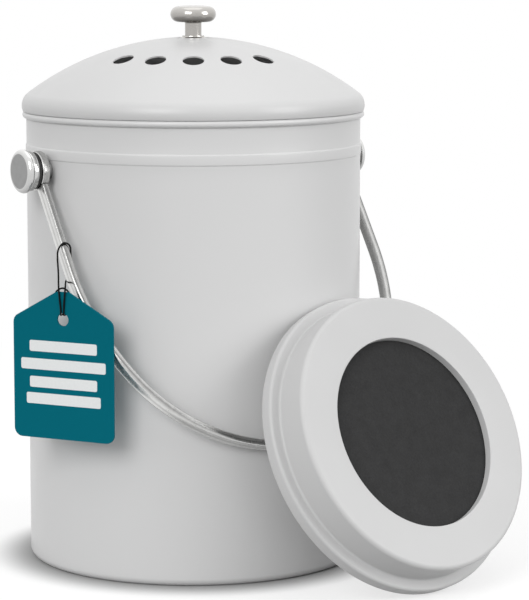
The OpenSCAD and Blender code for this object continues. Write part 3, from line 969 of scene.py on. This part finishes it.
def add_at_pivot(kind, side, outline, segments, material):
    """Turns an outline, lays it at one pivot, and adds it as a piece."""
    name = kind + ("_right" if side > 0 else "_left")
    mesh = lathe(outline, segments)
    lay_sideways(mesh, side)
    raise_to_pivots(mesh)
    smooth_faces(mesh)
    add_object(name, mesh, "bin", material, ["pivot_" + name])
    return mesh


def make_spacer(side, steel):
    bore = PIN_R + RUNNING_GAP
    outline = (
        [(bore, SPACER_IN), (SPACER_R, SPACER_IN)]
        + arc((SPACER_R - SPACER_ROUND, SPACER_OUT - SPACER_ROUND), SPACER_ROUND, 0, 90, 8)
        + [(bore, SPACER_OUT)]
    )
    add_at_pivot("spacer", side, outline, SMALL_SEGMENTS, steel)


# A thin black ring between the bail's eye and the button, which keeps the gap between them
# dark.
def make_washer(side, black):
    bore = PIN_R + RUNNING_GAP
    edge_r = WASHER_R - WASHER_EDGE
    outline = (
        [(bore, WASHER_IN)]
        + arc((edge_r, WASHER_IN + WASHER_EDGE), WASHER_EDGE, -90, 0, 4)
        + arc((edge_r, WASHER_OUT - WASHER_EDGE), WASHER_EDGE, 0, 90, 4)
        + [(bore, WASHER_OUT)]
    )
    add_at_pivot("washer", side, outline, SMALL_SEGMENTS, black)


def make_button(side, rim_metal, face_shaded_metal):
    """The two-step button with its pin, its flat face in a darker, satin copy of the metal:
    the satin gloss is real, the darker colour is a painted reflection.
    """
    bevel = BUTTON_R - BUTTON_FACE_R
    back_out = FRONT_IN - GROOVE_W
    outline = (
        [(0, BIN_R), (PIN_R, BIN_R), (PIN_R, WASHER_OUT)]
        + arc((BUTTON_BACK_R - BUTTON_BACK_ROUND, WASHER_OUT + BUTTON_BACK_ROUND),
              BUTTON_BACK_ROUND, -90, 0, 8)
        + arc((BUTTON_BACK_R - BUTTON_BACK_EDGE, back_out - BUTTON_BACK_EDGE),
              BUTTON_BACK_EDGE, 0, 90, 5)
        + [(GROOVE_R, back_out), (GROOVE_R, FRONT_IN)]
        + arc((BUTTON_R - BUTTON_EDGE, FRONT_IN + BUTTON_EDGE), BUTTON_EDGE, -90, 0, 4)
        + arc((BUTTON_FACE_R, BUTTON_OUT - bevel), bevel, 0, 90, 10)
        + [(BUTTON_MIDDLE_R, BUTTON_OUT), (0, BUTTON_OUT)]
    )
    mesh = add_at_pivot("button", side, outline, MEDIUM_SEGMENTS, rim_metal)
    mesh.materials.append(face_shaded_metal)
    face_x = mm(BUTTON_OUT - FACE_NEAR)
    # The flat face gets the darker copy of the metal: a painted reflection.
    for polygon in mesh.polygons:
        if abs(polygon.normal.x) > FACES_OUT and abs(polygon.center.x) > face_x:
            polygon.material_index = 1


# Tag and string

TAG_T = 1.0
BAR_H = 5.6
BAR_T = 0.06
BAR_CORNER = 0.9

# Each bar's height on the tag, from its hole, and its width
BAR_ROWS = ((-14.1, 39), (-23.3, 49), (-32.4, 39), (-40.8, 43))


def place_on_tag(mesh):
    """Moves a mesh drawn in the tag's own plane (X across, Y up, Z out) to the tag."""
    mesh.transform(
        Matrix.Translation(mm(TAG_HOLE))
        @ Matrix.Rotation(TAG_FACING, 4, "Z")
        @ Matrix.Rotation(math.pi / 2, 4, "X")
    )


def flat_plate(outline, low, high):
    """A plate from a flat outline, between two heights in mm."""
    bm = bmesh.new()
    verts = [bm.verts.new(mm((x, y, low))) for x, y in outline]
    face = bm.faces.new(verts)
    made = bmesh.ops.extrude_face_region(bm, geom=[face])
    raised = [v for v in made["geom"] if isinstance(v, bmesh.types.BMVert)]
    bmesh.ops.translate(bm, verts=raised, vec=(0, 0, mm(high - low)))
    bmesh.ops.recalc_face_normals(bm, faces=bm.faces)
    return to_mesh(bm, "plate")


def make_tag_print(ink):
    """Plain pale bars where a printed tag carries its lines."""
    joined = bmesh.new()
    for height, width in BAR_ROWS:
        outline = []
        for quarter, (x, y) in enumerate(CORNER_SIGNS):
            centre = (x * (width / 2 - BAR_CORNER), height + y * (BAR_H / 2 - BAR_CORNER))
            outline += arc(centre, BAR_CORNER, 90 * quarter, 90 * quarter + 90, 4)
        joined.from_mesh(flat_plate(outline, TAG_T / 2, TAG_T / 2 + BAR_T))
    mesh = to_mesh(joined, "print")
    place_on_tag(mesh)
    add_object("tag_print", mesh, "tag", ink)


def add_thread(name, points, body, material, replaced):
    """A smooth thread through a route's points.

    Each point's handles are a sixth of the way between its neighbours."""
    data = bpy.data.curves.new(name, "CURVE")
    data.dimensions = "3D"
    data.resolution_u = 10
    data.bevel_depth = mm(STRING_D / 2)
    data.bevel_resolution = 4
    data.use_fill_caps = True
    spline = data.splines.new("BEZIER")
    spline.bezier_points.add(len(points) - 1)
    for i, point in enumerate(points):
        before = Vector(from_pivots(points[max(i - 1, 0)]))
        after = Vector(from_pivots(points[min(i + 1, len(points) - 1)]))
        here = Vector(from_pivots(point))
        lean = (after - before) / 6
        knot = spline.bezier_points[i]
        knot.handle_left_type = "FREE"
        knot.handle_right_type = "FREE"
        knot.co = mm(tuple(here))
        knot.handle_left = mm(tuple(here - lean))
        knot.handle_right = mm(tuple(here + lean))
    return add_object(name, data, body, material, [replaced])


KNOT_TILTS = (-0.6, 0.7)
KNOT_RING_R = 0.6
KNOT_TUBE_R = 0.5
KNOT_AROUND = 36
KNOT_SIDES = 12
KNOT_SHARP = 60


def make_knot(thread):
    """An overhand knot, as two fat turns round the string."""
    bm = bmesh.new()
    for tilt in KNOT_TILTS:
        add_turn(bm, mm(KNOT_RING_R), mm(KNOT_TUBE_R), tilt)
    mesh = to_mesh(bm, "knot")
    mesh.transform(Matrix.Translation(mm(from_pivots(KNOT_AT))))
    smooth_faces(mesh, KNOT_SHARP)
    return add_object("string_tie", mesh, "bail", thread, ["string_knot"])


def add_turn(bm, ring_r, tube_r, tilt):
    """Adds one closed turn of thread round the origin, tilted about X."""
    turn = Matrix.Rotation(tilt, 3, "X")
    rings = []
    for i in range(KNOT_AROUND):
        a = 2 * math.pi * i / KNOT_AROUND
        ring = []
        for k in range(KNOT_SIDES):
            b = 2 * math.pi * k / KNOT_SIDES
            r = ring_r + tube_r * math.cos(b)
            point = Vector((r * math.cos(a), r * math.sin(a), tube_r * math.sin(b)))
            ring.append(bm.verts.new(turn @ point))
        rings.append(ring)
    for i in range(KNOT_AROUND):
        low = rings[i]
        high = rings[(i + 1) % KNOT_AROUND]
        for k in range(KNOT_SIDES):
            m = (k + 1) % KNOT_SIDES
            bm.faces.new((low[k], high[k], high[m], low[m]))


# Surroundings

# Strengths from 0 to 1, and distances from the caddy's middle in metres
FLOOR_GLOW = 0.62
FLOOR_TONE = 0.42
# From the base's edge the glow rises from nothing over a few centimetres: a painted shadow
# round the base.
BASE_EDGE = 0.086
PAINTED_SHADOW_END = 0.114
FLOOR_NEAR = 0.3
FLOOR_FAR = 0.75
FLOOR_HALF = 20.0
WORLD_FILL = 0.72
LAMP_TARGET = (0, 0, 0.14)


def floor_material():
    """A pale ground that glows for the camera and keeps the caddy's shadow.

    The glow starts at the base's edge and rises over a few centimetres, which paints a shadow
    round the base. Further out the ground's own colour fades to nothing and the glow rises to
    white."""
    made = Nodes("floor")
    made.set(Roughness=0.9, Specular_IOR_Level=0.0)
    place = made.add("ShaderNodeNewGeometry")
    away = made.add("ShaderNodeVectorMath", operation="LENGTH")
    made.link(place.outputs["Position"], away.inputs[0])
    fade = made.add("ShaderNodeMapRange", interpolation_type="SMOOTHSTEP")
    fade.inputs["From Min"].default_value = FLOOR_NEAR
    fade.inputs["From Max"].default_value = FLOOR_FAR
    made.link(away.outputs["Value"], fade.inputs["Value"])
    made.colour(fade.outputs["Result"], grey(FLOOR_TONE), grey(0))
    # The glow's slow rise near the base paints the shadow round it.
    start = made.add("ShaderNodeMapRange", interpolation_type="SMOOTHSTEP")
    start.inputs["From Min"].default_value = BASE_EDGE
    start.inputs["From Max"].default_value = PAINTED_SHADOW_END
    start.inputs["To Max"].default_value = FLOOR_GLOW
    made.link(away.outputs["Value"], start.inputs["Value"])
    rays = made.add("ShaderNodeLightPath")
    seen = made.add("ShaderNodeMath", operation="MAXIMUM")
    made.link(rays.outputs["Is Camera Ray"], seen.inputs[0])
    made.link(rays.outputs["Is Glossy Ray"], seen.inputs[1])
    level = made.add("ShaderNodeMapRange")
    level.inputs["To Max"].default_value = 1.0
    made.link(start.outputs["Result"], level.inputs["To Min"])
    made.link(fade.outputs["Result"], level.inputs["Value"])
    scaled = made.add("ShaderNodeMath", operation="MULTIPLY")
    made.link(seen.outputs[0], scaled.inputs[0])
    made.link(level.outputs["Result"], scaled.inputs[1])
    glow = made.add("ShaderNodeEmission")
    made.link(scaled.outputs[0], glow.inputs["Strength"])
    total = made.add("ShaderNodeAddShader")
    made.link(made.shader.outputs[0], total.inputs[0])
    made.link(glow.outputs[0], total.inputs[1])
    made.link(total.outputs[0], made.output.inputs["Surface"])
    return made.material


def make_floor():
    mesh = bpy.data.meshes.new("floor")
    half = FLOOR_HALF
    mesh.from_pydata([(-half, -half, 0), (half, -half, 0), (half, half, 0), (-half, half, 0)],
                     [], [(0, 1, 2, 3)])
    floor = in_scene("floor", mesh)
    mesh.materials.append(floor_material())


def make_world():
    """A white background, which lights the caddy at WORLD_FILL."""
    world = bpy.data.worlds.new("studio")
    bpy.context.scene.world = world
    world.use_nodes = True
    tree = world.node_tree
    background = tree.nodes["Background"]
    background.inputs["Color"].default_value = (1, 1, 1, 1)
    rays = tree.nodes.new("ShaderNodeLightPath")
    first = tree.nodes.new("ShaderNodeMath")
    first.operation = "MAXIMUM"
    tree.links.new(rays.outputs["Is Camera Ray"], first.inputs[0])
    tree.links.new(rays.outputs["Is Glossy Ray"], first.inputs[1])
    second = tree.nodes.new("ShaderNodeMath")
    second.operation = "MAXIMUM"
    tree.links.new(first.outputs[0], second.inputs[0])
    tree.links.new(rays.outputs["Is Transmission Ray"], second.inputs[1])
    strength = tree.nodes.new("ShaderNodeMapRange")
    strength.inputs["To Min"].default_value = WORLD_FILL
    strength.inputs["To Max"].default_value = 1.0
    tree.links.new(second.outputs[0], strength.inputs["Value"])
    tree.links.new(strength.outputs["Result"], background.inputs["Strength"])


def area_light(name, at, width, height, power):
    """A soft lamp aimed at the caddy's middle."""
    data = bpy.data.lights.new(name, "AREA")
    data.shape = "RECTANGLE"
    data.size = width
    data.size_y = height
    data.energy = power
    light = in_scene(name, data)
    light.location = at
    aim = Vector(LAMP_TARGET) - Vector(at)
    light.rotation_euler = aim.to_track_quat("-Z", "Y").to_euler()


def make_lights():
    area_light("key", at=(-1.9, -1.2, 1.25), width=1.2, height=1.2, power=24)
    area_light("fill", at=(1.2, -1.9, 0.95), width=1.0, height=1.4, power=19)
    area_light("top", at=(0.1, 0.2, 2.2), width=1.6, height=1.6, power=3)


def dress_cad_nodes(screw_metal, black, card):
    """The pieces that the CAD already shapes right get a real finish."""
    finishes = {
        "lid_knob_washer": screw_metal,
        "lid_knob_screw": screw_metal,
        "pivot_screw_left": screw_metal,
        "pivot_screw_right": screw_metal,
        "pivot_seal_left": black,
        "pivot_seal_right": black,
        "hang_tag": card,
    }
    for name, material in finishes.items():
        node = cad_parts[name]
        node.data.materials.clear()
        node.data.materials.append(material)


def make_lid_pieces():
    # The lid's coat is the bin's powder coat made a shade darker: painted shade on the lid,
    # whose top faces the light.
    coat = powder_coat("lid_coat_painted_shade", 0.635)
    # Each metal's bright and dark colours are the two ends of its painted reflection.
    nickel = metal("nickel", bright=(0.72, 0.7, 0.67), dark=(0.16, 0.15, 0.14), roughness=0.16)
    make_lid(coat)
    make_inner_ring(coat)
    make_knob(nickel)
    make_collar(nickel)


def make_pivots(black):
    # Each metal's bright and dark colours are the two ends of its painted reflection.
    spacer_metal = metal("spacer_metal", bright=grey(0.6), dark=grey(0.12), roughness=0.2)
    rim_metal = metal("button_rim", bright=(0.95, 0.95, 0.94), dark=grey(0.3), roughness=0.14)
    # The button's flat face: a darker copy of the plated metal, which is a painted reflection,
    # with a real satin gloss.
    face_shaded_metal = metal("button_face_painted_shade", bright=grey(0.34), dark=grey(0.28), roughness=0.4)
    for side in (-1, 1):
        make_spacer(side, spacer_metal)
        make_washer(side, black)
        make_button(side, rim_metal, face_shaded_metal)


def main():
    make_camera()
    thread = waxed_string()
    string = add_thread("string_loop", STRING_ROUTE, "bail", thread, "tag_string")
    hitch = add_thread("string_bight", HITCH_ROUTE, "tag", thread, "string_hitch")
    black = rubber()
    make_bin(powder_coat("bin_coat", 0.685))
    make_lid_pieces()
    # The pad's pale back is painted light seen through the lid's vents.
    make_filters(moulded_plastic(), charcoal_felt(), painted_vent_light())
    make_bail(drawn_strip())
    make_pivots(black)
    make_tag_print(tag_ink())
    knot = make_knot(thread)
    # The screw metal's bright and dark colours are the two ends of its painted reflection.
    screw_metal = metal("screw_steel", bright=grey(0.6), dark=grey(0.3), roughness=0.35)
    dress_cad_nodes(screw_metal, black, tag_card())
    make_floor()
    make_world()
    make_lights()
    bpy.context.scene.view_settings.view_transform = "Standard"


main()
